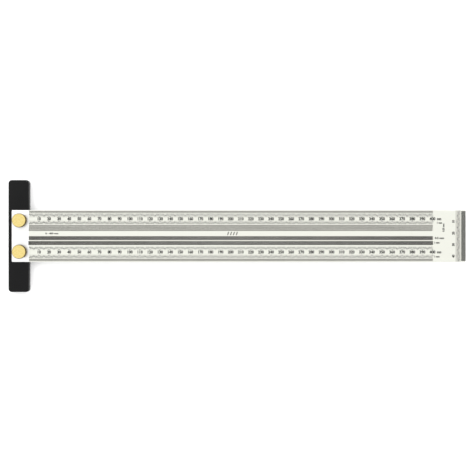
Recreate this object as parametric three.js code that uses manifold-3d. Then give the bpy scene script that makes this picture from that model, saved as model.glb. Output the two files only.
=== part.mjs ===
// Perforated T-rule for marking out: a milled bar with a fence face, a thin drilled steel
// blade lying in a pocket of the bar, and two knurled thumbscrews that clamp the blade down.
//
// Frame, in millimetres: x = 0 is the fence face, where the scale starts, and +X runs out
// along the blade. y = 0 is the blade's centre line. z = 0 is the pocket floor, on which the
// blade's underside lies, and +Z points up to the marked face and the thumbscrews.

import * as THREE from 'three';
import { mergeVertices } from 'three/addons/utils/BufferGeometryUtils.js';
import Module from 'manifold-3d';

const wasm = await Module();
wasm.setup();

// Blade
const bladeReach = 433;
const bladeInsert = 17;
const bladeWidth = 51.3;
const bladeThickness = 1;
const bladeCorner = 1;

// Scribing holes: the one on every 10 mm mark of each row, at the row's inset from its nearer
// long edge. The finer holes and slots between these are too small for this model.
const scaleLength = 400;
const scaleStep = 10;
const scribeHoleRadius = 0.3;
const scribeHoleSides = 6;
const upperRowInsets = [6.2, 11.2];
const lowerRowInsets = [6.45, 12.35];

// Head bar
const headLength = 111;
const fenceDepth = 10.8;
const rimProud = 0.2;
const lipWidth = 3.1;
const headCorner = 3.2;
const headChamfer = 0.5;
const pocketClearance = 0.1;

// Thumbscrews, named for their threads and placed from the blade's inner corner
const threadRadius = 2.5;
const threadTipChamfer = 0.7;
const threadEndGap = 2.6;
const neckRadius = 2;
const neckLength = 1.6;
const shoulderRadius = 4.5;
const shoulderHeight = 1.2;
const knobRadius = 7;
const knobHeight = 6;
const knobBevel = 0.6;
const screwInsetAlong = 8;
const screwInsetAcross = 10.15;

// Washers and the running gaps round a screw
const washerRadius = 6;
const washerThickness = 0.8;
const washerChamfer = 0.15;
const washerGap = 0.25;
const bladeHoleGap = 0.25;
const tappedHoleGap = 0.1;
const tappedHoleChamfer = 0.6;

const bladeTop = bladeThickness;
const headTop = bladeTop + rimProud;
const headBottom = -fenceDepth;
const pocketLength = bladeInsert + pocketClearance;
const headWidth = pocketLength + lipWidth;
const washerTop = bladeTop + washerThickness;
const screwX = screwInsetAlong - bladeInsert;
const screwY = bladeWidth / 2 - screwInsetAcross;
const roundSegments = 40;
const cornerSegments = 6;
const cutOverrun = 2;

const anodisedBlack = new THREE.MeshStandardMaterial({ color: 0x242424, roughness: 0.55, metalness: 0.4 });
const satinSteel = new THREE.MeshStandardMaterial({ color: 0xe9e9e2, roughness: 0.35, metalness: 1 });
const turnedBrass = new THREE.MeshStandardMaterial({ color: 0xe0bb5c, roughness: 0.3, metalness: 1 });

/** A closed solid made from a three.js geometry, for joining and cutting. */
function toSolid(geometry) {
  const bare = geometry.clone();
  bare.deleteAttribute('normal');
  bare.deleteAttribute('uv');
  const merged = mergeVertices(bare, 1e-5);
  return new wasm.Manifold(new wasm.Mesh({
    numProp: 3,
    vertProperties: merged.attributes.position.array,
    triVerts: new Uint32Array(merged.index.array),
  }));
}

/** The three.js geometry of a cut or joined solid. */
function toGeometry(solid) {
  const mesh = solid.getMesh();
  const geometry = new THREE.BufferGeometry();
  geometry.setAttribute('position', new THREE.BufferAttribute(mesh.vertProperties, 3));
  geometry.setIndex(new THREE.BufferAttribute(mesh.triVerts, 1));
  geometry.computeVertexNormals();
  return geometry;
}

/** A rectangle from x0 to x1, centred across y, with a radius at each end's two corners. */
function roundedOutline(x0, x1, width, startRadius, endRadius) {
  const half = width / 2;
  const outline = new THREE.Shape();
  outline.moveTo(x0 + startRadius, -half);
  outline.lineTo(x1 - endRadius, -half);
  outline.absarc(x1 - endRadius, -half + endRadius, endRadius, -Math.PI / 2, 0, false);
  outline.lineTo(x1, half - endRadius);
  outline.absarc(x1 - endRadius, half - endRadius, endRadius, 0, Math.PI / 2, false);
  outline.lineTo(x0 + startRadius, half);
  outline.absarc(x0 + startRadius, half - startRadius, startRadius, Math.PI / 2, Math.PI, false);
  outline.lineTo(x0, -half + startRadius);
  outline.absarc(x0 + startRadius, -half + startRadius, startRadius, Math.PI, Math.PI * 1.5, false);
  return outline;
}

/** A closed path round a hole with the given number of sides, run the opposite way to outlines. */
function holePath(x, y, radius, sides) {
  const points = [];
  for (let side = 0; side < sides; side += 1) {
    const angle = -(side + 0.5) * Math.PI * 2 / sides;
    points.push(new THREE.Vector2(x + radius * Math.cos(angle), y + radius * Math.sin(angle)));
  }
  return new THREE.Path(points);
}

/** A profile of [radius, height] pairs turned about the Z axis. */
function turned(profile) {
  const points = profile.map(([radius, height]) => new THREE.Vector2(radius, height));
  const geometry = new THREE.LatheGeometry(points, roundSegments);
  geometry.rotateX(Math.PI / 2);
  return geometry;
}

/** The milled bar: chamfered all round, pocketed for the blade, drilled and tapped twice. */
function headBar() {
  const outline = roundedOutline(-headWidth, 0, headLength, headCorner, headCorner);
  const bar = new THREE.ExtrudeGeometry(outline, {
    depth: headTop - headBottom - 2 * headChamfer,
    curveSegments: cornerSegments,
    bevelThickness: headChamfer,
    bevelSize: headChamfer,
    bevelOffset: -headChamfer,
    bevelSegments: 1,
  });
  bar.translate(0, 0, headBottom + headChamfer);

  const pocketOutline = roundedOutline(
    -pocketLength, cutOverrun, bladeWidth + 2 * pocketClearance, bladeCorner + pocketClearance, 0,
  );
  const pocket = new THREE.ExtrudeGeometry(pocketOutline, {
    depth: headTop + cutOverrun,
    curveSegments: cornerSegments,
    bevelEnabled: false,
  });

  const holeRadius = threadRadius + tappedHoleGap;
  const mouthRadius = holeRadius + tappedHoleChamfer + cutOverrun;
  const hole = turned([
    [0, headBottom - cutOverrun],
    [mouthRadius, headBottom - cutOverrun],
    [holeRadius, headBottom + tappedHoleChamfer],
    [holeRadius, -tappedHoleChamfer],
    [mouthRadius, cutOverrun],
    [0, cutOverrun],
  ]);

  let solid = toSolid(bar).subtract(toSolid(pocket));
  for (const side of [1, -1]) {
    const placed = hole.clone().translate(screwX, side * screwY, 0);
    solid = solid.subtract(toSolid(placed));
  }
  return new THREE.Mesh(toGeometry(solid), anodisedBlack);
}

/** The steel blade, with a clearance hole for each screw and its rows of scribing holes. */
function ruleBlade() {
  const outline = roundedOutline(-bladeInsert, bladeReach, bladeWidth, bladeCorner, bladeCorner);
  for (const side of [1, -1]) {
    outline.holes.push(holePath(screwX, side * screwY, threadRadius + bladeHoleGap, roundSegments));
  }
  const rows = [
    ...upperRowInsets.map((inset) => bladeWidth / 2 - inset),
    ...lowerRowInsets.map((inset) => inset - bladeWidth / 2),
  ];
  for (const y of rows) {
    for (let x = scaleStep; x <= scaleLength; x += scaleStep) {
      outline.holes.push(holePath(x, y, scribeHoleRadius, scribeHoleSides));
    }
  }
  const plate = new THREE.ExtrudeGeometry(outline, {
    depth: bladeThickness,
    curveSegments: cornerSegments,
    bevelEnabled: false,
  });
  return new THREE.Mesh(plate, satinSteel);
}

/** A brass thumbscrew seen from its tip up: thread, necked relief, shoulder and knob. */
function thumbscrew() {
  const tip = headBottom + threadEndGap;
  const neckBottom = washerTop - neckLength;
  const knobBottom = washerTop + shoulderHeight;
  const knobTop = knobBottom + knobHeight;
  const body = turned([
    [0, tip],
    [threadRadius - threadTipChamfer, tip],
    [threadRadius, tip + threadTipChamfer],
    [threadRadius, neckBottom],
    [neckRadius, neckBottom],
    [neckRadius, washerTop],
    [shoulderRadius, washerTop],
    [shoulderRadius, knobBottom],
    [knobRadius - knobBevel, knobBottom],
    [knobRadius, knobBottom + knobBevel],
    [knobRadius, knobTop - knobBevel],
    [knobRadius - knobBevel, knobTop],
    [0, knobTop],
  ]);
  return new THREE.Mesh(body, turnedBrass);
}

/** The flat washer under a thumbscrew's shoulder, held captive on its neck by the thread. */
function washer() {
  const bore = neckRadius + washerGap;
  const ring = turned([
    [bore, bladeTop],
    [washerRadius - washerChamfer, bladeTop],
    [washerRadius, bladeTop + washerChamfer],
    [washerRadius, washerTop - washerChamfer],
    [washerRadius - washerChamfer, washerTop],
    [bore, washerTop],
    [bore, bladeTop],
  ]);
  return new THREE.Mesh(ring, turnedBrass);
}

const rule = new THREE.Group();

function add(parent, name, mesh) {
  mesh.name = name;
  parent.add(mesh);
}

add(rule, 'head_bar', headBar());
add(rule, 'rule_blade', ruleBlade());

for (const [place, side] of [['upper', 1], ['lower', -1]]) {
  const station = new THREE.Group();
  station.position.set(screwX, side * screwY, 0);
  add(station, `${place}_thumbscrew`, thumbscrew());
  add(station, `${place}_washer`, washer());
  rule.add(station);
}

export default rule;
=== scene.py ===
import math

import bmesh
import bpy
from mathutils import Matrix, Vector


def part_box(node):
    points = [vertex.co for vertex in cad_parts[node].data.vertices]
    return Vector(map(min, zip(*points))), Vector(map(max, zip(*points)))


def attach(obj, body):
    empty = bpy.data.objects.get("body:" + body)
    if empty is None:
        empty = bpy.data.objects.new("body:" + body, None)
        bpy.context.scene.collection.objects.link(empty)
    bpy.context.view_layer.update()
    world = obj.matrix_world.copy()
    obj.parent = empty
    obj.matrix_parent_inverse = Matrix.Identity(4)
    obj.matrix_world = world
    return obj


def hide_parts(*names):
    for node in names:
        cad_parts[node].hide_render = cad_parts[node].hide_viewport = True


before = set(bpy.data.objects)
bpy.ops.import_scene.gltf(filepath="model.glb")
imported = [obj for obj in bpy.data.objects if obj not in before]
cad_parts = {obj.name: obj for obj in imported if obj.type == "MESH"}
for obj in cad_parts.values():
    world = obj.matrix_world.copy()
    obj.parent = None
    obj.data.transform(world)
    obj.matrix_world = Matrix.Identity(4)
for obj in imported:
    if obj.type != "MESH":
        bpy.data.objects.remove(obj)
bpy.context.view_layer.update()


# ---------------------------------------------------------------------------
# Camera, floor and light
# The rule lies flat under a camera that looks straight down on the marked face.
# It stands on a plain white floor, under one broad overhead panel and a soft key.
# ---------------------------------------------------------------------------
CAMERA_HEIGHT = 1.5
FIELD_WIDTH = 0.4658
CAMERA_ASIDE = (-0.0021, 0.00104)
SENSOR = 36.0
head_low, head_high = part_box("head_bar")
blade_low, blade_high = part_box("rule_blade")

camera_data = bpy.data.cameras.new("overhead_camera")
camera = bpy.data.objects.new("overhead_camera", camera_data)
bpy.context.scene.collection.objects.link(camera)
camera_data.sensor_width = SENSOR
camera_data.lens = SENSOR * CAMERA_HEIGHT / FIELD_WIDTH
camera_data.clip_start = 0.01
camera_data.clip_end = 20.0
rule_middle = (head_low + blade_high) / 2
camera.location = (
    rule_middle.x + CAMERA_ASIDE[0],
    CAMERA_ASIDE[1],
    blade_high.z + CAMERA_HEIGHT,
)
bpy.context.scene.camera = camera

scene = bpy.context.scene
scene.view_settings.view_transform = "Standard"
scene.view_settings.look = "None"

world = bpy.data.worlds.new("studio")
world.use_nodes = True
scene.world = world
SKY_STRENGTH = 1.5
sky = world.node_tree
sky_direction = sky.nodes.new("ShaderNodeTexCoord").outputs["Generated"]


def sky_ramp(aim, stops):
    """How bright the studio is in each direction, by how far the direction lies along an aim."""
    along = sky.nodes.new("ShaderNodeVectorMath")
    along.operation = "DOT_PRODUCT"
    along.inputs[1].default_value = aim
    sky.links.new(sky_direction, along.inputs[0])
    ramp = sky.nodes.new("ShaderNodeValToRGB")
    while len(ramp.color_ramp.elements) < len(stops):
        ramp.color_ramp.elements.new(0.5)
    for element, (place, level) in zip(ramp.color_ramp.elements, stops):
        element.position = place
        element.color = (level, level, level, 1.0)
    sky.links.new(along.outputs["Value"], ramp.inputs["Fac"])
    return ramp.outputs["Color"]


# Dim at the horizon, brightest at mid height, and flagged off beyond the blade's far end.
upward = sky_ramp(
    (0, 0, 1),
    ((0.0, 0.58), (0.4, 0.6), (0.62, 1.0), (0.86, 1.0), (0.95, 0.667), (1.0, 0.667)),
)
flagged = sky_ramp((0.741, -0.601, 0.3), ((0.0, 1.0), (0.6, 1.0), (0.85, 0.5), (1.0, 0.45)))
sky_mix = sky.nodes.new("ShaderNodeMix")
sky_mix.data_type = "RGBA"
sky_mix.blend_type = "MULTIPLY"
sky_mix.inputs["Factor"].default_value = 1.0
sky.links.new(upward, sky_mix.inputs[6])
sky.links.new(flagged, sky_mix.inputs[7])
sky.links.new(sky_mix.outputs[2], sky.nodes["Background"].inputs["Color"])
sky.nodes["Background"].inputs["Strength"].default_value = SKY_STRENGTH


def soft_panel(name, place, aim, width, power):
    """A square softbox at a place, turned towards the point it is aimed at."""
    light = bpy.data.lights.new(name, "AREA")
    light.shape = "SQUARE"
    light.size = width
    light.energy = power
    holder = bpy.data.objects.new(name, light)
    scene.collection.objects.link(holder)
    holder.location = place
    holder.rotation_euler = (Vector(aim) - Vector(place)).to_track_quat("-Z", "Y").to_euler()
    return holder


soft_panel("overhead_panel", (0.2, 0.0, 2.2), (0.2, 0.0, 0.0), 2.6, 12.5)
soft_panel("key_panel", (-0.85, 0.95, 1.7), (0.1, 0.0, 0.0), 0.9, 7.0)

FLOOR_REACH = 8.0
floor_z = head_low.z
floor_mesh = bpy.data.meshes.new("floor")
floor_mesh.from_pydata(
    [(x * FLOOR_REACH, y * FLOOR_REACH, floor_z) for x, y in ((-1, -1), (1, -1), (1, 1), (-1, 1))],
    [],
    [(0, 1, 2, 3)],
)
floor = bpy.data.objects.new("floor", floor_mesh)
scene.collection.objects.link(floor)
floor_finish = bpy.data.materials.new("white_floor")
floor_finish.use_nodes = True
floor_shader = floor_finish.node_tree.nodes["Principled BSDF"]
floor_shader.inputs["Base Color"].default_value = (0.96, 0.96, 0.96, 1.0)
floor_shader.inputs["Roughness"].default_value = 0.9
floor_shader.inputs["Specular IOR Level"].default_value = 0.1
floor_shader.inputs["Emission Color"].default_value = (1.0, 1.0, 1.0, 1.0)
floor_shader.inputs["Emission Strength"].default_value = 0.2
floor_mesh.materials.append(floor_finish)


# ---------------------------------------------------------------------------
# Head bar
# A milled aluminium bar, black anodised, with its inner long side as the fence. Its top is
# pocketed for the blade's end and it is drilled and tapped right through for two thumbscrews.
# ---------------------------------------------------------------------------
MM = 0.001
HEAD_CORNER = 3.2 * MM
HEAD_EDGE = 0.5 * MM
EDGE_STEPS = 4
CORNER_STEPS = 10
POCKET_GAP = 0.1 * MM
POCKET_EDGE = 0.15 * MM
BLADE_CORNER = 1.0 * MM
THREAD_PITCH = 0.8 * MM
THREAD_CREST = 2.5 * MM
THREAD_ROOT = 2.02 * MM
SCREW_COLUMNS = 88
TAPPED_GAP = 0.1 * MM
TAPPED_DEPTH = 0.28 * MM
TAPPED_SINK = 0.6 * MM
TAPPED_COLUMNS = 48
CUT_OVERRUN = 1.0 * MM
SHARP_ANGLE = 35.0

screw_boxes = {side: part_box(f"{side}_thumbscrew") for side in ("upper", "lower")}
screw_axes = {
    side: ((low.x + high.x) / 2, (low.y + high.y) / 2) for side, (low, high) in screw_boxes.items()
}


def plan_points(x0, x1, half, radius, inset=0.0, stops=()):
    """A rounded rectangle seen from above, anticlockwise, with extra points on its long sides."""
    r = radius - inset
    corners = (
        (x1 - radius, -half + radius, -90),
        (x1 - radius, half - radius, 0),
        (x0 + radius, half - radius, 90),
        (x0 + radius, -half + radius, 180),
    )
    points = []
    for number, (cx, cy, start) in enumerate(corners):
        if number == 2:
            points += [(x, half - inset) for x in sorted(stops, reverse=True)]
        for step in range(CORNER_STEPS + 1):
            angle = math.radians(start + 90 * step / CORNER_STEPS)
            points.append((cx + r * math.cos(angle), cy + r * math.sin(angle)))
    points += [(x, -half + inset) for x in sorted(stops)]
    return points


def add_ring(bm, points, z):
    """One level ring of vertices."""
    return [bm.verts.new((x, y, z)) for x, y in points]


def join_rings(bm, lower, upper):
    """Quads between two rings of the same count, facing out where the rings run anticlockwise."""
    count = len(lower)
    for i in range(count):
        j = (i + 1) % count
        bm.faces.new((lower[i], lower[j], upper[j], upper[i]))


def finish_mesh(bm, name, sharp_angle=SHARP_ANGLE, merge=1e-7):
    """Welds, turns the faces outwards and gives the mesh an object of its own."""
    bmesh.ops.remove_doubles(bm, verts=bm.verts, dist=merge)
    bmesh.ops.recalc_face_normals(bm, faces=bm.faces)
    mesh = bpy.data.meshes.new(name)
    bm.to_mesh(mesh)
    bm.free()
    mesh.shade_smooth()
    mesh.set_sharp_from_angle(angle=math.radians(sharp_angle))
    piece = bpy.data.objects.new(name, mesh)
    scene.collection.objects.link(piece)
    return piece


def stacked_plan(name, rings):
    """A closed solid from a stack of (points, height) rings, capped flat at both ends."""
    bm = bmesh.new()
    made = [add_ring(bm, points, z) for points, z in rings]
    for lower, upper in zip(made, made[1:]):
        join_rings(bm, lower, upper)
    bm.faces.new(list(reversed(made[0])))
    bm.faces.new(made[-1])
    return finish_mesh(bm, name)


def thread_surface(bm, centre, z_low, z_high, core, tip, columns=SCREW_COLUMNS):
    """A right-hand screw thread between two flat ends, where it runs out to the core radius."""
    profile = ((0.0, 0.0), (0.1, 0.0), (0.44, 1.0), (0.56, 1.0))
    turns = math.ceil((z_high - z_low) / THREAD_PITCH)
    rows = []
    for turn in range(-1, turns + 1):
        for along, out in profile:
            row = []
            for k in range(columns):
                z = z_low + THREAD_PITCH * (turn + along + k / columns)
                z = min(max(z, z_low), z_high)
                run_out = min(1.0, (z - z_low) / THREAD_PITCH, (z_high - z) / THREAD_PITCH)
                r = core + (tip - core) * out * run_out
                angle = math.tau * k / columns
                x = centre[0] + r * math.cos(angle)
                y = centre[1] + r * math.sin(angle)
                row.append(bm.verts.new((x, y, z)))
            rows.append(row)
    step = len(profile)
    for m in range(len(rows) - 1):
        for k in range(columns - 1):
            bm.faces.new((rows[m][k], rows[m][k + 1], rows[m + 1][k + 1], rows[m + 1][k]))
        if m + 1 + step < len(rows):
            last = columns - 1
            bm.faces.new((rows[m][last], rows[m + step][0], rows[m + 1 + step][0], rows[m + 1][last]))
    return rows[0], rows[-1]


def circle_points(centre, radius, count=SCREW_COLUMNS):
    """A circle seen from above, anticlockwise."""
    return [
        (
            centre[0] + radius * math.cos(math.tau * i / count),
            centre[1] + radius * math.sin(math.tau * i / count),
        )
        for i in range(count)
    ]


def tapped_hole_cutter(name, centre):
    """The space of a tapped through hole: a thread with a countersink at each mouth."""
    bore = THREAD_CREST + TAPPED_GAP
    bm = bmesh.new()
    bottom, top = thread_surface(
        bm,
        centre,
        head_low.z + TAPPED_SINK,
        blade_low.z - TAPPED_SINK,
        bore,
        bore + TAPPED_DEPTH,
        TAPPED_COLUMNS,
    )
    mouth = circle_points(centre, bore + TAPPED_SINK + CUT_OVERRUN, TAPPED_COLUMNS)
    below = add_ring(bm, mouth, head_low.z - CUT_OVERRUN)
    above = add_ring(bm, mouth, blade_low.z + CUT_OVERRUN)
    join_rings(bm, below, bottom)
    join_rings(bm, top, above)
    bm.faces.new(list(reversed(below)))
    bm.faces.new(above)
    return finish_mesh(bm, name)


def cut_away(piece, cutters):
    """Cuts the cutters out of a piece for good, and removes them."""
    for cutter in cutters:
        cut = piece.modifiers.new("cut", "BOOLEAN")
        cut.operation = "DIFFERENCE"
        cut.solver = "EXACT"
        cut.object = cutter
    bpy.context.view_layer.update()
    whole = piece.evaluated_get(bpy.context.evaluated_depsgraph_get())
    mesh = bpy.data.meshes.new_from_object(whole)
    piece.modifiers.clear()
    piece.data = mesh
    for cutter in cutters:
        bpy.data.objects.remove(cutter)
    mesh.set_sharp_from_angle(angle=math.radians(SHARP_ANGLE))


head_plan = (head_low.x, head_high.x, head_high.y, HEAD_CORNER)
edge_rings = []
for step in range(EDGE_STEPS + 1):
    angle = math.radians(90 * step / EDGE_STEPS)
    inset = HEAD_EDGE * (1 - math.sin(angle))
    drop = HEAD_EDGE * (1 - math.cos(angle))
    edge_rings.append((inset, drop))
bar_rings = [(plan_points(*head_plan, inset), head_low.z + drop) for inset, drop in edge_rings]
bar_rings += [
    (plan_points(*head_plan, inset), head_high.z - drop) for inset, drop in reversed(edge_rings)
]
head_bar = stacked_plan("fence_bar", bar_rings)

pocket_plan = (
    blade_low.x - POCKET_GAP,
    head_high.x + 4 * CUT_OVERRUN,
    blade_high.y + POCKET_GAP,
    BLADE_CORNER + POCKET_GAP,
)
pocket = stacked_plan(
    "pocket_cutter",
    [
        (plan_points(*pocket_plan), blade_low.z),
        (plan_points(*pocket_plan), head_high.z - POCKET_EDGE),
        (plan_points(*pocket_plan, -POCKET_EDGE * 2), head_high.z + POCKET_EDGE),
    ],
)
hole_cutters = [tapped_hole_cutter(f"{side}_hole_cutter", axis) for side, axis in screw_axes.items()]
cut_away(head_bar, [pocket, *hole_cutters])


def new_group(name, inputs, outputs):
    """A shader node group with named sockets: (name, kind, value) inputs and (name, kind) outputs."""
    group = bpy.data.node_groups.new(name, "ShaderNodeTree")
    for label, kind, value in inputs:
        socket = group.interface.new_socket(label, in_out="INPUT", socket_type=f"NodeSocket{kind}")
        socket.default_value = value
    for label, kind in outputs:
        group.interface.new_socket(label, in_out="OUTPUT", socket_type=f"NodeSocket{kind}")
    return group, group.nodes.new("NodeGroupInput"), group.nodes.new("NodeGroupOutput")


class Maths:
    """Adds math nodes to a tree, taking sockets or plain numbers."""

    def __init__(self, tree):
        self.tree = tree

    def __call__(self, operation, *values, clamp=False):
        node = self.tree.nodes.new("ShaderNodeMath")
        node.operation = operation
        node.use_clamp = clamp
        for slot, value in zip(node.inputs, values):
            if isinstance(value, (int, float)):
                slot.default_value = value
            else:
                self.tree.links.new(value, slot)
        return node.outputs[0]


def noise(tree, vector, scale, detail=4.0, roughness=0.6):
    """A noise pattern from 0 to 1."""
    node = tree.nodes.new("ShaderNodeTexNoise")
    node.inputs["Scale"].default_value = scale
    node.inputs["Detail"].default_value = detail
    node.inputs["Roughness"].default_value = roughness
    tree.links.new(vector, node.inputs["Vector"])
    return node.outputs["Fac"]


def object_place(tree, location=(0, 0, 0), rotation=(0, 0, 0), scale=(1, 1, 1)):
    """Object coordinates in metres, moved, turned and stretched for a pattern."""
    source = tree.nodes.new("ShaderNodeTexCoord")
    mapping = tree.nodes.new("ShaderNodeMapping")
    mapping.inputs["Location"].default_value = location
    mapping.inputs["Rotation"].default_value = rotation
    mapping.inputs["Scale"].default_value = scale
    tree.links.new(source.outputs["Object"], mapping.inputs["Vector"])
    return mapping.outputs["Vector"]


def blend_colours(tree, factor, first, second):
    """Mixes two colours, either of them a socket or plain numbers, by a factor."""
    node = tree.nodes.new("ShaderNodeMix")
    node.data_type = "RGBA"
    tree.links.new(factor, node.inputs["Factor"])
    for slot, value in ((node.inputs[6], first), (node.inputs[7], second)):
        if isinstance(value, tuple):
            slot.default_value = (*value, 1.0)
        else:
            tree.links.new(value, slot)
    return node.outputs[2]


def spread_value(tree, value, low, high):
    """A 0 to 1 value spread over a range."""
    node = tree.nodes.new("ShaderNodeMapRange")
    node.inputs["To Min"].default_value = low
    node.inputs["To Max"].default_value = high
    tree.links.new(value, node.inputs["Value"])
    return node.outputs["Result"]


def surface_bump(tree, height, distance, strength):
    """A normal from a 0 to 1 height pattern and the depth it stands for."""
    node = tree.nodes.new("ShaderNodeBump")
    node.inputs["Distance"].default_value = distance
    node.inputs["Strength"].default_value = strength
    tree.links.new(height, node.inputs["Height"])
    return node.outputs["Normal"]


def bare_material(name, metallic, specular=0.5):
    """A new material, its node tree and its shader."""
    material = bpy.data.materials.new(name)
    material.use_nodes = True
    tree = material.node_tree
    shader = tree.nodes["Principled BSDF"]
    shader.inputs["Metallic"].default_value = metallic
    shader.inputs["Specular IOR Level"].default_value = specular
    return material, tree, shader


def worn_edge_group():
    """Edge wear on a box-shaped piece: 1 on its edges, broken up by noise, 0 on its faces."""
    group, given, result = new_group(
        "worn_edge",
        [
            ("Place", "Vector", (0, 0, 0)),
            ("Low corner", "Vector", (0, 0, 0)),
            ("High corner", "Vector", (1, 1, 1)),
            ("Width", "Float", 0.0005),
            ("Break up", "Float", 900.0),
        ],
        [("Wear", "Float")],
    )
    maths = Maths(group)
    axes = []
    parts = {}
    for label in ("Place", "Low corner", "High corner"):
        split = group.nodes.new("ShaderNodeSeparateXYZ")
        group.links.new(given.outputs[label], split.inputs[0])
        parts[label] = split.outputs
    for i in range(3):
        from_low = maths("SUBTRACT", parts["Place"][i], parts["Low corner"][i])
        from_high = maths("SUBTRACT", parts["High corner"][i], parts["Place"][i])
        axes.append(maths("ABSOLUTE", maths("MINIMUM", from_low, from_high)))
    x, y, z = axes
    lesser = maths("MINIMUM", x, y)
    greater = maths("MAXIMUM", x, y)
    second = maths("MAXIMUM", lesser, maths("MINIMUM", greater, z))
    near = maths("SUBTRACT", 1.0, maths("DIVIDE", second, given.outputs["Width"]), clamp=True)
    patches = group.nodes.new("ShaderNodeTexNoise")
    patches.inputs["Detail"].default_value = 5.0
    group.links.new(given.outputs["Place"], patches.inputs["Vector"])
    group.links.new(given.outputs["Break up"], patches.inputs["Scale"])
    broken = maths("MULTIPLY", maths("SUBTRACT", patches.outputs["Fac"], 0.42), 5.0, clamp=True)
    group.links.new(maths("MULTIPLY", near, broken), result.inputs["Wear"])
    return group


worn_edge = worn_edge_group()


def uneven_roughness_group():
    """Roughness from two patterns, each spread over its own range and then added."""
    group, given, result = new_group(
        "uneven_roughness",
        [
            ("Main pattern", "Float", 0.5),
            ("Main low", "Float", 0.3),
            ("Main high", "Float", 0.4),
            ("Second pattern", "Float", 0.5),
            ("Second low", "Float", -0.05),
            ("Second high", "Float", 0.05),
        ],
        [("Roughness", "Float")],
    )
    parts = []
    for label in ("Main", "Second"):
        spread = group.nodes.new("ShaderNodeMapRange")
        group.links.new(given.outputs[f"{label} pattern"], spread.inputs["Value"])
        group.links.new(given.outputs[f"{label} low"], spread.inputs["To Min"])
        group.links.new(given.outputs[f"{label} high"], spread.inputs["To Max"])
        parts.append(spread.outputs["Result"])
    group.links.new(Maths(group)("ADD", *parts), result.inputs["Roughness"])
    return group


roughness_group = uneven_roughness_group()


def uneven_roughness(tree, main, main_range, second, second_range):
    """Places the roughness group in a material, with its two patterns and their ranges."""
    node = tree.nodes.new("ShaderNodeGroup")
    node.node_tree = roughness_group
    for label, pattern, (low, high) in (("Main", main, main_range), ("Second", second, second_range)):
        tree.links.new(pattern, node.inputs[f"{label} pattern"])
        node.inputs[f"{label} low"].default_value = low
        node.inputs[f"{label} high"].default_value = high
    return node.outputs["Roughness"]


def anodised_black():
    """Satin black anodising over a bead-blasted surface, rubbed thin along the edges."""
    material, tree, shader = bare_material("anodised_black", 0.0, 0.1)
    maths = Maths(tree)
    place = object_place(tree)
    wear = tree.nodes.new("ShaderNodeGroup")
    wear.node_tree = worn_edge
    wear.inputs["Low corner"].default_value = head_low
    wear.inputs["High corner"].default_value = head_high
    wear.inputs["Width"].default_value = 0.55 * MM
    tree.links.new(place, wear.inputs["Place"])
    cloud = noise(tree, place, 60.0)
    grain = noise(tree, place, 5200.0, 2.0)
    base = blend_colours(tree, cloud, (0.0036, 0.0036, 0.0037), (0.0068, 0.0068, 0.007))
    worn = maths("MULTIPLY", wear.outputs["Wear"], 0.18)
    colour = blend_colours(tree, worn, base, (0.09, 0.09, 0.092))
    tree.links.new(colour, shader.inputs["Base Color"])
    rough = uneven_roughness(tree, cloud, (0.38, 0.5), grain, (-0.05, 0.05))
    tree.links.new(rough, shader.inputs["Roughness"])
    tree.links.new(surface_bump(tree, grain, 0.012 * MM, 0.6), shader.inputs["Normal"])
    return material


head_bar.data.materials.append(anodised_black())
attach(head_bar, "head")
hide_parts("head_bar")


# ---------------------------------------------------------------------------
# Blade
# A 1 mm stainless strip, laser-cut right through with rows of scribing holes and pencil slots.
# A black filled border lies flush round each cut, and the edge ticks are filled the same way.
# ---------------------------------------------------------------------------
BLADE_EDGE = 0.12 * MM
SEAT_END = -1.0 * MM
SCALE_END = 416.0 * MM
MARKS = 400
HOLE_RING = 1.2 * MM
HOLE_CUT = 0.62 * MM
HOLE_SIDES = 10
HOLE_STEP_OUT = 1.1 * MM
HOLE_STEP_FIFTH = 0.75 * MM
HOLE_TENTH_GROWTH = 0.2
SCREW_HOLE = 5.5 * MM
SCREW_HOLE_SIDES = 48
WELD = 0.001 * MM
blade_half = blade_high.y
blade_top = blade_high.z
inner_half = blade_half - BLADE_EDGE

# Where one band of the scale ends and the next begins, down from the upper edge.
BAND_STOPS = (22.35, 16.9, 11.4, 2.4, -4.45, -9.8, -16.0, -22.15)
band_edges = [inner_half, *[stop * MM for stop in BAND_STOPS], -inner_half]
outline = plan_points(
    blade_low.x, blade_high.x, blade_half, BLADE_CORNER, BLADE_EDGE, stops=(SEAT_END, SCALE_END)
)


def plain_end_outlines():
    """Closed wires round the blade's two ends: its seat in the head, and its far end."""
    corner = {
        (x, side): outline.index((x, side * inner_half))
        for x in (SEAT_END, SCALE_END)
        for side in (1, -1)
    }
    crossings = band_edges[1:-1]
    seat = outline[corner[SEAT_END, 1] : corner[SEAT_END, -1] + 1]
    seat += [(SEAT_END, y) for y in reversed(crossings)]
    far = outline[corner[SCALE_END, -1] :] + outline[: corner[SCALE_END, 1] + 1]
    far += [(SCALE_END, y) for y in crossings]
    points = []
    edges = []
    for loop in (seat, far):
        first = len(points)
        points += [(x, y, 0.0) for x, y in loop]
        edges += [(first + i, first + (i + 1) % len(loop)) for i in range(len(loop))]
    mesh = bpy.data.meshes.new("plain_end_outlines")
    mesh.from_pydata(points, edges, [])
    return mesh


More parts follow.
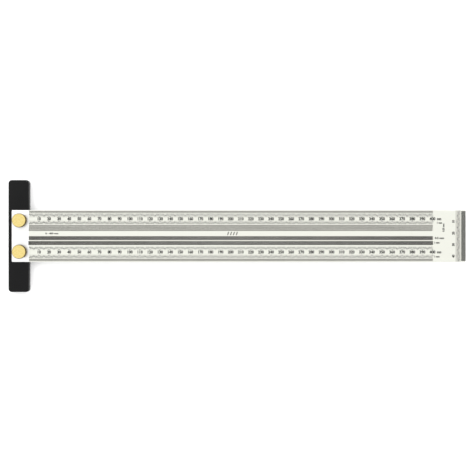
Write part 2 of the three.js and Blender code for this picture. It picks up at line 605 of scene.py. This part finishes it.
class GeometryNodes:
    """A geometry node tree with named sockets, and short ways to add nodes to it."""

    def __init__(self, name, inputs, outputs):
        self.tree = bpy.data.node_groups.new(name, "GeometryNodeTree")
        for label, kind, value in inputs:
            socket = self.tree.interface.new_socket(
                label, in_out="INPUT", socket_type=f"NodeSocket{kind}"
            )
            if value is not None:
                socket.default_value = value
        for label, kind in outputs:
            self.tree.interface.new_socket(
                label, in_out="OUTPUT", socket_type=f"NodeSocket{kind}"
            )
        self.given = self.tree.nodes.new("NodeGroupInput").outputs
        self.result = self.tree.nodes.new("NodeGroupOutput").inputs

    def feed(self, slot, value):
        if isinstance(value, bpy.types.NodeSocket):
            self.tree.links.new(value, slot)
        else:
            slot.default_value = value

    def add(self, kind, values, **settings):
        node = self.tree.nodes.new(f"GeometryNode{kind}")
        for label, value in settings.items():
            setattr(node, label, value)
        for label, value in values.items():
            self.feed(node.inputs[label], value)
        return node.outputs

    def maths(self, operation, first, second):
        node = self.tree.nodes.new("ShaderNodeMath")
        node.operation = operation
        self.feed(node.inputs[0], first)
        self.feed(node.inputs[1], second)
        return node.outputs[0]

    def vector(self, operation, first, second):
        node = self.tree.nodes.new("ShaderNodeVectorMath")
        node.operation = operation
        self.feed(node.inputs[0], first)
        self.feed(node.inputs["Scale" if operation == "SCALE" else 1], second)
        return node.outputs[0]

    def join(self, sockets):
        node = self.tree.nodes.new("GeometryNodeJoinGeometry")
        for socket in reversed(sockets):
            self.tree.links.new(socket, node.inputs[0])
        return node.outputs[0]

    def fill(self, curves):
        whole = self.add("RealizeInstances", {"Geometry": self.join(curves)})[0]
        return self.add("FillCurve", {"Curve": whole})[0]


def scale_row_tree(name, zigzag):
    """One row of marks, in which odd, even, fifth and tenth marks each have their own level.

    In a zigzag of round holes the level moves a mark along the level direction, and in a row
    of straight marks it stretches a mark that way."""
    row = GeometryNodes(
        name,
        [
            ("Count", "Int", MARKS),
            ("First number", "Int", 1),
            ("First place", "Vector", (0, 0, 0)),
            ("Step", "Vector", (MM, 0, 0)),
            ("Level direction", "Vector", (0, 1, 0)),
            ("Odd", "Float", 0.0 if zigzag else 1.0),
            ("Even", "Float", 0.0 if zigzag else 1.0),
            ("Fifth", "Float", 0.0 if zigzag else 1.0),
            ("Tenth", "Float", 0.0 if zigzag else 1.0),
            ("Mark size", "Vector", (HOLE_RING, HOLE_RING, 1)),
            ("Cut size", "Vector", (HOLE_CUT, HOLE_CUT, 1)),
            ("Centre", "Vector", (0, 0, 0)),
            ("Cut through", "Bool", True),
        ],
        [("Mark outlines", "Geometry"), ("Mark faces", "Geometry"), ("Cut outlines", "Geometry")],
    )
    given = row.given
    number = row.maths("ADD", row.add("InputIndex", {})[0], given["First number"])
    level = given["Odd"]
    for divisor, label in ((2.0, "Even"), (5.0, "Fifth"), (10.0, "Tenth")):
        hit = row.maths("LESS_THAN", row.maths("MODULO", number, divisor), 0.5)
        choice = {"Switch": hit, "False": level, "True": given[label]}
        level = row.add("Switch", choice, input_type="FLOAT")[0]
    line = {"Count": given["Count"], "Start Location": given["First place"], "Offset": given["Step"]}
    points = row.add("MeshLine", line)[0]
    if zigzag:
        larger_tenth = row.maths("ADD", row.maths("MULTIPLY", hit, HOLE_TENTH_GROWTH), 1.0)
        stretch = row.vector("SCALE", (1, 1, 1), larger_tenth)
        shift = row.vector("SCALE", given["Level direction"], level)
        points = row.add("SetPosition", {"Geometry": points, "Offset": shift})[0]
        shape = row.add("CurvePrimitiveCircle", {"Resolution": HOLE_SIDES, "Radius": 0.5})[0]
    else:
        longer = row.vector("SCALE", given["Level direction"], row.maths("SUBTRACT", level, 1.0))
        stretch = row.vector("ADD", longer, (1, 1, 1))
        shape = row.add("CurvePrimitiveQuadrilateral", {"Width": 1.0, "Height": 1.0})[0]
    sized = {}
    for label in ("Mark size", "Cut size"):
        change = {"Geometry": shape, "Translation": given["Centre"], "Scale": given[label]}
        sized[label] = row.add("Transform", change)[0]
    cut = row.add(
        "Switch", {"Switch": given["Cut through"], "True": sized["Cut size"]}, input_type="GEOMETRY"
    )[0]
    face = row.fill([sized["Mark size"], cut])
    for label, thing in (
        ("Mark outlines", sized["Mark size"]),
        ("Mark faces", face),
        ("Cut outlines", cut),
    ):
        placed = row.add("InstanceOnPoints", {"Points": points, "Instance": thing, "Scale": stretch})
        whole = row.add("RealizeInstances", {"Geometry": placed[0]})[0]
        row.feed(row.result[label], whole)
    return row.tree


hole_row = scale_row_tree("zigzag_of_holes", True)
mark_row = scale_row_tree("row_of_marks", False)


def zigzag(y, towards_numbers):
    """A zigzag of holes about a line, whose tenth marks lie nearest to the numbers."""
    return hole_row, {
        "First place": (MM, y * MM, 0),
        "Level direction": (0, towards_numbers, 0),
        "Odd": -HOLE_STEP_OUT,
        "Fifth": HOLE_STEP_FIFTH,
        "Tenth": HOLE_STEP_OUT,
    }


SLOT_RING = 0.82 * MM
SLOT_CUT = 0.2 * MM
SLOT_MARGIN = 0.5
FINE_MARK = (0.52 * MM, 1.8 * MM, 1)
TICK_LENGTH = 1.9


def slots(y, height, first_x, count):
    """A row of pencil slots, each in a black filled border."""
    return mark_row, {
        "Count": count,
        "First place": (first_x * MM, y * MM, 0),
        "Mark size": (SLOT_RING, height * MM, 1),
        "Cut size": (SLOT_CUT, (height - SLOT_MARGIN) * MM, 1),
    }


def fine_marks(y, first_x):
    """A row of fine marks, engraved and filled but not cut through."""
    return mark_row, {
        "First place": (first_x * MM, y * MM, 0),
        "Mark size": FINE_MARK,
        "Cut through": False,
    }


def edge_ticks(y, inward, width):
    """Half-millimetre ticks along an edge: the millimetre ones are longer, the tenth ones longest."""
    return mark_row, {
        "Count": 2 * MARKS,
        "First place": (0.5 * MM, y * MM, 0),
        "Step": (0.5 * MM, 0, 0),
        "Mark size": (width * MM, TICK_LENGTH * MM, 1),
        "Centre": (0, inward * TICK_LENGTH / 2 * MM, 0),
        "Odd": 0.78,
        "Fifth": 0.95,
        "Tenth": 1.2,
        "Cut through": False,
    }


# The rows in each band, down from the upper edge, with places and sizes in millimetres.
band_rows = [
    [edge_ticks(24.9, -1, 0.26)],
    [zigzag(20.55, -1)],
    [zigzag(13.35, 1)],
    [fine_marks(10.1, 0.75), fine_marks(8.0, 0.5), fine_marks(5.9, 0.25)],
    [slots(-2.03, 3.75, 0.5, MARKS)],
    [slots(-6.95, 3.9, 0.0, MARKS + 1)],
    [zigzag(-12.2, -1)],
    [zigzag(-20.3, 1)],
    [edge_ticks(-24.5, 1, 0.29)],
]

# The far end carries a short scale across the blade, numbered from its upper edge.
ACROSS_DIVISIONS = 45
ACROSS_STEP = (blade_high.y - blade_low.y) / ACROSS_DIVISIONS
ACROSS_HOLES_X = 425.3 * MM
ACROSS_HOLE_RING = 1.3 * MM
ACROSS_HOLE_CUT = 0.7 * MM
ACROSS_STEP_OUT = 1.2 * MM
END_TICK = (4.5 * MM, 0.47 * MM, 1)
END_TICK_INSET = 0.15 * MM
across_start = blade_high.y
end_rows = [
    (
        hole_row,
        {
            "Count": ACROSS_DIVISIONS - 1,
            "First place": (ACROSS_HOLES_X, across_start - ACROSS_STEP, 0),
            "Step": (0, -ACROSS_STEP, 0),
            "Level direction": (-1, 0, 0),
            "Mark size": (ACROSS_HOLE_RING, ACROSS_HOLE_RING, 1),
            "Cut size": (ACROSS_HOLE_CUT, ACROSS_HOLE_CUT, 1),
            "Odd": -ACROSS_STEP_OUT,
            "Fifth": HOLE_STEP_FIFTH,
            "Tenth": ACROSS_STEP_OUT,
        },
    ),
    (
        mark_row,
        {
            "Count": 2 * ACROSS_DIVISIONS - 3,
            "First place": (blade_high.x - END_TICK_INSET, across_start - ACROSS_STEP, 0),
            "Step": (0, -ACROSS_STEP / 2, 0),
            "Level direction": (1, 0, 0),
            "Mark size": END_TICK,
            "Centre": (-END_TICK[0] / 2, 0, 0),
            "Odd": 0.93,
            "Fifth": 1.0,
            "Tenth": 1.03,
            "Cut through": False,
        },
    ),
]


def blade_sheet_tree():
    """The whole perforated sheet: top, filled marks, underside and the walls of every cut."""
    sheet = GeometryNodes(
        "perforated_blade",
        [
            ("Geometry", "Geometry", None),
            ("Thickness", "Float", MM),
            ("Screw hole", "Float", SCREW_HOLE),
            ("Steel", "Material", None),
            ("Black fill", "Material", None),
        ],
        [("Geometry", "Geometry")],
    )
    given = sheet.given
    tops = []
    undersides = []
    faces = []
    cuts = []

    def fill_zone(outline_curve, rows, holes=()):
        """Fills one part of the sheet round its marks, above, and round its cuts, below."""
        marks = [outline_curve, *holes]
        through = [outline_curve, *holes]
        for tree, values in rows:
            node = sheet.tree.nodes.new("GeometryNodeGroup")
            node.node_tree = tree
            for label, value in values.items():
                node.inputs[label].default_value = value
            marks.append(node.outputs["Mark outlines"])
            faces.append(node.outputs["Mark faces"])
            through.append(node.outputs["Cut outlines"])
            cuts.append(node.outputs["Cut outlines"])
        tops.append(sheet.fill(marks))
        undersides.append(sheet.fill(through))

    for upper, lower, rows in zip(band_edges, band_edges[1:], band_rows):
        size = {"Width": SCALE_END - SEAT_END, "Height": upper - lower}
        box = sheet.add("CurvePrimitiveQuadrilateral", size)[0]
        middle = ((SEAT_END + SCALE_END) / 2, (upper + lower) / 2, 0)
        fill_zone(sheet.add("Transform", {"Geometry": box, "Translation": middle})[0], rows)

    split = sheet.tree.nodes.new("ShaderNodeSeparateXYZ")
    sheet.feed(split.inputs[0], sheet.add("InputPosition", {})[0])
    ends = {}
    for name, test in (("seat", "LESS_THAN"), ("far", "GREATER_THAN")):
        chosen = sheet.maths(test, split.outputs[0], (SEAT_END + SCALE_END) / 2)
        wires = {"Mesh": given["Geometry"], "Selection": chosen}
        ends[name] = sheet.add("MeshToCurve", wires)[0]
    screw_holes = []
    for x, y in screw_axes.values():
        radius = sheet.maths("MULTIPLY", given["Screw hole"], 0.5)
        ring = sheet.add("CurvePrimitiveCircle", {"Resolution": SCREW_HOLE_SIDES, "Radius": radius})[0]
        screw_holes.append(
            sheet.add("Transform", {"Geometry": ring, "Translation": (x, y, 0)})[0]
        )
    cuts += screw_holes
    fill_zone(ends["seat"], [], screw_holes)
    fill_zone(ends["far"], end_rows)

    up = sheet.tree.nodes.new("ShaderNodeCombineXYZ")
    sheet.feed(up.inputs[2], given["Thickness"])
    steel = {"Material": given["Steel"]}
    black = {"Material": given["Black fill"]}
    top = sheet.add("Transform", {"Geometry": sheet.join(tops), "Translation": up.outputs[0]})[0]
    fill = sheet.add("Transform", {"Geometry": sheet.join(faces), "Translation": up.outputs[0]})[0]
    underside = sheet.add("FlipFaces", {"Mesh": sheet.join(undersides)})[0]
    rims = sheet.add("CurveToMesh", {"Curve": sheet.join(cuts)})[0]
    walls = sheet.add("ExtrudeMesh", {"Mesh": rims, "Offset": up.outputs[0]}, mode="EDGES")[0]
    painted = [
        sheet.add("SetMaterial", {"Geometry": part, **finish})[0]
        for part, finish in ((top, steel), (underside, steel), (fill, black), (walls, black))
    ]
    whole = sheet.add("RealizeInstances", {"Geometry": sheet.join(painted)})[0]
    welded = sheet.add("MergeByDistance", {"Geometry": whole, "Distance": WELD})[0]
    sheet.feed(sheet.result["Geometry"], welded)
    return sheet.tree


def set_inputs(modifier, values):
    """Sets a geometry nodes modifier's inputs, found by name and set by identifier."""
    for item in modifier.node_group.interface.items_tree:
        if item.item_type == "SOCKET" and item.in_out == "INPUT" and item.name in values:
            modifier[item.identifier] = values[item.name]


def made_by_nodes(name, base_mesh, tree, values):
    """The plain mesh that a geometry nodes tree makes."""
    maker = bpy.data.objects.new(f"{name}_maker", base_mesh)
    scene.collection.objects.link(maker)
    modifier = maker.modifiers.new("maker", "NODES")
    modifier.node_group = tree
    set_inputs(modifier, values)
    bpy.context.view_layer.update()
    whole = maker.evaluated_get(bpy.context.evaluated_depsgraph_get())
    mesh = bpy.data.meshes.new_from_object(whole)
    mesh.name = name
    bpy.data.objects.remove(maker)
    return mesh


# Rows that the laser has dulled, from one height to another on the blade, and how strongly.
HEAT_TINTS = (
    (22.35, 25.4, 0.35),
    (18.2, 22.35, 0.21),
    (11.4, 15.5, 0.19),
    (4.85, 11.1, 0.34),
    (-4.1, 0.0, 0.75),
    (-4.9, -4.1, 0.2),
    (-9.0, -4.9, 0.7),
    (-14.3, -10.3, 0.08),
    (-22.3, -18.1, 0.19),
    (-25.4, -22.3, 0.33),
)
TINTED_LENGTH = (0.0, 400.8)
END_TINT = (422.6, 428.2, 0.34)
TINT_BLUR = 0.3 * MM
BRIGHT_STEEL = (0.63, 0.63, 0.62)
TINTED_STEEL = (0.2, 0.188, 0.168)


def satin_steel():
    """Stainless with a fine lengthwise grain, faintly dulled where the laser has worked."""
    material, tree, shader = bare_material("satin_steel", 1.0)
    maths = Maths(tree)
    place = object_place(tree)
    grain = noise(tree, object_place(tree, scale=(1.0, 46.0, 46.0)), 90.0, 6.0, 0.7)
    cloud = noise(tree, place, 14.0, 3.0)
    tone = blend_colours(tree, grain, (0.525, 0.529, 0.478), (0.625, 0.63, 0.575))
    split = tree.nodes.new("ShaderNodeSeparateXYZ")
    tree.links.new(place, split.inputs[0])
    x, y, z = split.outputs

    def within(axis, low, high):
        """1 between two places along an axis and 0 outside them, with a soft edge."""
        above = maths("DIVIDE", maths("SUBTRACT", axis, low * MM), TINT_BLUR, clamp=True)
        below = maths("DIVIDE", maths("SUBTRACT", high * MM, axis), TINT_BLUR, clamp=True)
        return maths("MULTIPLY", above, below)

    dulled = 0.0
    for low, high, strength in HEAT_TINTS:
        dulled = maths("MAXIMUM", dulled, maths("MULTIPLY", within(y, low, high), strength))
    dulled = maths("MULTIPLY", dulled, within(x, *TINTED_LENGTH))
    low, high, strength = END_TINT
    dulled = maths("MAXIMUM", dulled, maths("MULTIPLY", within(x, low, high), strength))
    beyond_head = within(x, 0.0, blade_high.x / MM + 1.0)
    tone = blend_colours(tree, beyond_head, BRIGHT_STEEL, tone)
    colour = blend_colours(tree, dulled, tone, TINTED_STEEL)
    tree.links.new(colour, shader.inputs["Base Color"])
    rough = uneven_roughness(tree, grain, (0.24, 0.34), cloud, (-0.03, 0.03))
    tree.links.new(rough, shader.inputs["Roughness"])
    tree.links.new(surface_bump(tree, grain, 0.003 * MM, 0.5), shader.inputs["Normal"])
    return material


def matt_black(name, patch_scale, palest, low, high):
    """Matt black enamel or ink, a little uneven in its tone and its sheen."""
    material, tree, shader = bare_material(name, 0.0, 0.2)
    patches = noise(tree, object_place(tree), patch_scale, 3.0)
    colour = blend_colours(tree, patches, (0.006, 0.006, 0.006), palest)
    tree.links.new(colour, shader.inputs["Base Color"])
    tree.links.new(spread_value(tree, patches, low, high), shader.inputs["Roughness"])
    return material


steel_finish = satin_steel()
fill_finish = matt_black("black_fill", 3000.0, (0.02, 0.02, 0.019), 0.55, 0.75)
sheet_mesh = made_by_nodes(
    "rule_sheet",
    plain_end_outlines(),
    blade_sheet_tree(),
    {"Thickness": blade_top - blade_low.z, "Steel": steel_finish, "Black fill": fill_finish},
)

# The rim closes the sheet round its outer edge, with the corners above and below eased.
blade_bm = bmesh.new()
blade_bm.from_mesh(sheet_mesh)
rim_rings = []
eased = BLADE_EDGE * 0.3
for inset, z in (
    (BLADE_EDGE, blade_low.z),
    (eased, blade_low.z + eased),
    (0.0, blade_low.z + BLADE_EDGE),
    (0.0, blade_top - BLADE_EDGE),
    (eased, blade_top - eased),
    (BLADE_EDGE, blade_top),
):
    points = plan_points(
        blade_low.x, blade_high.x, blade_half, BLADE_CORNER, inset, stops=(SEAT_END, SCALE_END)
    )
    rim_rings.append(add_ring(blade_bm, points, z))
for lower_ring, upper_ring in zip(rim_rings, rim_rings[1:]):
    join_rings(blade_bm, lower_ring, upper_ring)
rule_blade = finish_mesh(blade_bm, "perforated_rule", 30.0, WELD)
for finish in sheet_mesh.materials:
    rule_blade.data.materials.append(finish)
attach(rule_blade, "head")
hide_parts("rule_blade")


# ---------------------------------------------------------------------------
# Scale numbers
# The printed figures and unit labels on the blade, all plain and generic. They are thin black
# ink, a hundredth of a millimetre proud of the steel, baked on.
# ---------------------------------------------------------------------------
INK_THICKNESS = 0.014 * MM
INK_SINK = 0.002 * MM
NUMBER_HEIGHT = 2.9 * MM
NUMBER_LINES = (16.9 * MM, -16.0 * MM)
UNIT_HEIGHT = 2.6 * MM
LABEL_HEIGHT = 1.9 * MM
ACROSS_NUMBER_HEIGHT = 2.4 * MM
CAPITAL_SHARE = 0.729
BOLDER = 0.07


def lettering(bm, words, middle, height, turn=0.0, align="CENTER", wide=0.95):
    """Adds one line of figures or letters, as a thin slab, to a mesh."""
    text = bpy.data.curves.new("figures", "FONT")
    text.body = words
    text.size = height / CAPITAL_SHARE
    text.align_x = align
    text.align_y = "CENTER"
    text.offset = height * BOLDER
    text.resolution_u = 3
    text.extrude = (INK_THICKNESS + INK_SINK) / 2
    holder = bpy.data.objects.new("figures", text)
    scene.collection.objects.link(holder)
    bpy.context.view_layer.update()
    whole = holder.evaluated_get(bpy.context.evaluated_depsgraph_get())
    mesh = bpy.data.meshes.new_from_object(whole)
    mesh.transform(
        Matrix.Translation((middle[0], middle[1], blade_top + (INK_THICKNESS - INK_SINK) / 2))
        @ Matrix.Rotation(math.radians(turn), 4, "Z")
        @ Matrix.Diagonal((wide, 1.0, 1.0, 1.0))
    )
    bm.from_mesh(mesh)
    bpy.data.objects.remove(holder)
    bpy.data.curves.remove(text)
    bpy.data.meshes.remove(mesh)


number_bm = bmesh.new()
for number in range(10, MARKS + 1, 10):
    for y in NUMBER_LINES:
        lettering(number_bm, str(number), (number * MM, y), NUMBER_HEIGHT)
for y in NUMBER_LINES:
    lettering(number_bm, "mm", (406.6 * MM, y), UNIT_HEIGHT, wide=0.78)
for words, place, turn, wide in (
    ("1 mm", (406.9, 13.0), 0, 0.9),
    ("0.25 mm", (411.0, 8.3), 90, 0.88),
    ("0.5 mm", (407.0, -2.1), 0, 1.15),
    ("1 mm", (404.3, -6.6), 0, 0.9),
    ("1 mm", (404.3, -20.4), 0, 0.9),
):
    middle = (place[0] * MM, place[1] * MM)
    lettering(number_bm, words, middle, LABEL_HEIGHT, turn, wide=wide)
for number in range(10, 50, 10):
    middle = (420.8 * MM, across_start - number * ACROSS_STEP)
    lettering(number_bm, str(number), middle, ACROSS_NUMBER_HEIGHT, 90, wide=0.9)
lettering(number_bm, "0 - 400 mm", (16.4 * MM, 2.5 * MM), 1.6 * MM, align="LEFT", wide=1.25)
lettering(number_bm, "/ / / /", (201.8 * MM, 2.4 * MM), 2.9 * MM, wide=1.3)
scale_numbers = finish_mesh(number_bm, "scale_numbers", merge=WELD)
printed_ink = matt_black("printed_ink", 700.0, (0.022, 0.022, 0.021), 0.5, 0.7)
scale_numbers.data.materials.append(printed_ink)
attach(scale_numbers, "head")


# ---------------------------------------------------------------------------
# Washers
# Flat turned brass rings, loose on the screws' necks. They lie between the blade and the
# shoulders of the knobs, and spread the clamping load over the blade.
# ---------------------------------------------------------------------------
WASHER_BORE = 2.25 * MM
WASHER_EDGE = 0.15 * MM


def turned_brass(name, centre, turning_pitch):
    """Polished brass with faint turning rings about an axis, with dark brown painted shade where the
    mesh carries it.
    """
    material, tree, shader = bare_material(name, 1.0)
    maths = Maths(tree)
    about_axis = object_place(tree, location=(-centre[0], -centre[1], 0))
    split = tree.nodes.new("ShaderNodeSeparateXYZ")
    tree.links.new(about_axis, split.inputs[0])
    x, y, z = split.outputs
    radius = maths("SQRT", maths("ADD", maths("MULTIPLY", x, x), maths("MULTIPLY", y, y)))
    around = tree.nodes.new("ShaderNodeCombineXYZ")
    tree.links.new(radius, around.inputs[0])
    tree.links.new(z, around.inputs[1])
    rings = noise(tree, around.outputs[0], 1.0 / turning_pitch, 3.0, 0.7)
    cloud = noise(tree, about_axis, 560.0, 4.0, 0.6)
    specks = noise(tree, about_axis, 1400.0, 3.0, 0.6)
    base = blend_colours(tree, cloud, (0.5, 0.378, 0.12), (0.652, 0.55, 0.245))
    mottled = maths("MULTIPLY", maths("SUBTRACT", specks, 0.52), 1.6, clamp=True)
    base = blend_colours(tree, mottled, base, (0.46, 0.33, 0.10))
    # Painted shade: a per-vertex value darkens the brass to dark brown and roughens it. It is full in
    # the knurl valleys and nearly as strong on the crests, standing in for the shade on the knobs'
    # sides.
    painted_knurl_shade = tree.nodes.new("ShaderNodeAttribute")
    painted_knurl_shade.attribute_name = "painted_knurl_shade"
    painted_shade_amount = maths("MULTIPLY", painted_knurl_shade.outputs["Fac"], 0.92)
    colour = blend_colours(tree, painted_shade_amount, base, (0.11, 0.055, 0.016))
    tree.links.new(colour, shader.inputs["Base Color"])
    rough = uneven_roughness(tree, rings, (0.2, 0.32), cloud, (-0.04, 0.06))
    rough = maths("ADD", rough, maths("MULTIPLY", painted_shade_amount, 0.25))
    tree.links.new(rough, shader.inputs["Roughness"])
    tree.links.new(surface_bump(tree, rings, 0.006 * MM, 0.6), shader.inputs["Normal"])
    return material


def turned_ring(name, centre, profile):
    """A turned ring from (radius, height) pairs that run round its section."""
    bm = bmesh.new()
    rings = [add_ring(bm, circle_points(centre, r), z) for r, z in profile]
    for lower, upper in zip(rings, rings[1:] + rings[:1]):
        join_rings(bm, lower, upper)
    return finish_mesh(bm, name)


for side, axis in screw_axes.items():
    low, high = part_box(f"{side}_washer")
    outer = (high.x - low.x) / 2
    eased = WASHER_EDGE * 0.3
    bore_edge = WASHER_EDGE / 2
    washer = turned_ring(
        f"{side}_brass_washer",
        axis,
        [
            (WASHER_BORE + bore_edge, low.z),
            (outer - WASHER_EDGE, low.z),
            (outer - eased, low.z + eased),
            (outer, low.z + WASHER_EDGE),
            (outer, high.z - WASHER_EDGE),
            (outer - eased, high.z - eased),
            (outer - WASHER_EDGE, high.z),
            (WASHER_BORE + bore_edge, high.z),
            (WASHER_BORE, high.z - bore_edge),
            (WASHER_BORE, low.z + bore_edge),
        ],
    )
    washer.data.materials.append(turned_brass(f"{side}_washer_brass", axis, 0.12 * MM))
    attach(washer, f"{side}_washer")
    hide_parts(f"{side}_washer")


# ---------------------------------------------------------------------------
# Thumbscrews
# Turned brass, each in one piece: an M5 thread, a plain neck under the washer, a shoulder
# and a diamond-knurled knob with a faced top. They screw down through the washer and blade.
# ---------------------------------------------------------------------------
SCREW_TIP = 1.8 * MM
TIP_CHAMFER = 0.7 * MM
NECK = 2.0 * MM
SHOULDER = 4.5 * MM
SHOULDER_EDGE = 0.1 * MM
THREAD_TOP = 0.2 * MM
THREAD_RELIEF = 0.02 * MM
KNOB_HEIGHT = 6.0 * MM
KNOB_BEVEL = 0.6 * MM
KNURL_DEPTH = 0.35 * MM
KNURL_ROWS = 8
# Share of the knurl's painted shade on its crests; the valleys take the whole of it.
KNURL_CREST_PAINTED_SHADE = 0.85


def thumbscrew(name, centre, low, high, neck_top):
    """One screw from its tip up; every ring has the knurl's count, so that they all join."""
    knob = (high.x - low.x) / 2
    knob_bottom = high.z - KNOB_HEIGHT
    bm = bmesh.new()
    # Per-vertex painted shade for the brass: set on the knurled wall only, zero elsewhere.
    painted_knurl_shade = bm.verts.layers.float.new("painted_knurl_shade")
    thread_low = low.z + TIP_CHAMFER / 2
    first, last = thread_surface(bm, centre, thread_low, THREAD_TOP, THREAD_ROOT, THREAD_CREST)
    tip = add_ring(bm, circle_points(centre, SCREW_TIP), low.z)
    join_rings(bm, tip, first)
    bm.faces.new(list(reversed(tip)))
    rings = [last]
    for r, z in (
        (NECK, THREAD_TOP + THREAD_RELIEF),
        (NECK, neck_top),
        (SHOULDER - SHOULDER_EDGE, neck_top),
        (SHOULDER, neck_top + SHOULDER_EDGE),
        (SHOULDER, knob_bottom),
        (knob - KNOB_BEVEL, knob_bottom),
    ):
        rings.append(add_ring(bm, circle_points(centre, r), z))
    knurl_low = knob_bottom + KNOB_BEVEL
    knurl_high = high.z - KNOB_BEVEL
    knurl_first = len(rings)
    for j in range(KNURL_ROWS + 1):
        z = knurl_low + (knurl_high - knurl_low) * j / KNURL_ROWS
        ring = []
        for i in range(SCREW_COLUMNS):
            valley = (i + j) % 2
            r = knob - KNURL_DEPTH * valley
            angle = math.tau * i / SCREW_COLUMNS
            vert = bm.verts.new((centre[0] + r * math.cos(angle), centre[1] + r * math.sin(angle), z))
            vert[painted_knurl_shade] = 1.0 if valley else KNURL_CREST_PAINTED_SHADE
            ring.append(vert)
        rings.append(ring)
    rings.append(add_ring(bm, circle_points(centre, knob - KNOB_BEVEL), high.z))
    for k, (lower, upper) in enumerate(zip(rings, rings[1:])):
        if not knurl_first <= k < knurl_first + KNURL_ROWS:
            join_rings(bm, lower, upper)
            continue
        for i in range(SCREW_COLUMNS):
            n = (i + 1) % SCREW_COLUMNS
            if (i + k - knurl_first) % 2:
                bm.faces.new((lower[i], lower[n], upper[n]))
                bm.faces.new((lower[i], upper[n], upper[i]))
            else:
                bm.faces.new((lower[i], lower[n], upper[i]))
                bm.faces.new((lower[n], upper[n], upper[i]))
    bm.faces.new(rings[-1])
    return finish_mesh(bm, name, 30.0)


for side, axis in screw_axes.items():
    low, high = screw_boxes[side]
    washer_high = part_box(f"{side}_washer")[1]
    screw = thumbscrew(f"{side}_brass_thumbscrew", axis, low, high, washer_high.z)
    screw.data.materials.append(turned_brass(f"{side}_screw_brass", axis, 0.16 * MM))
    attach(screw, f"{side}_thumbscrew")
    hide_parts(f"{side}_thumbscrew")
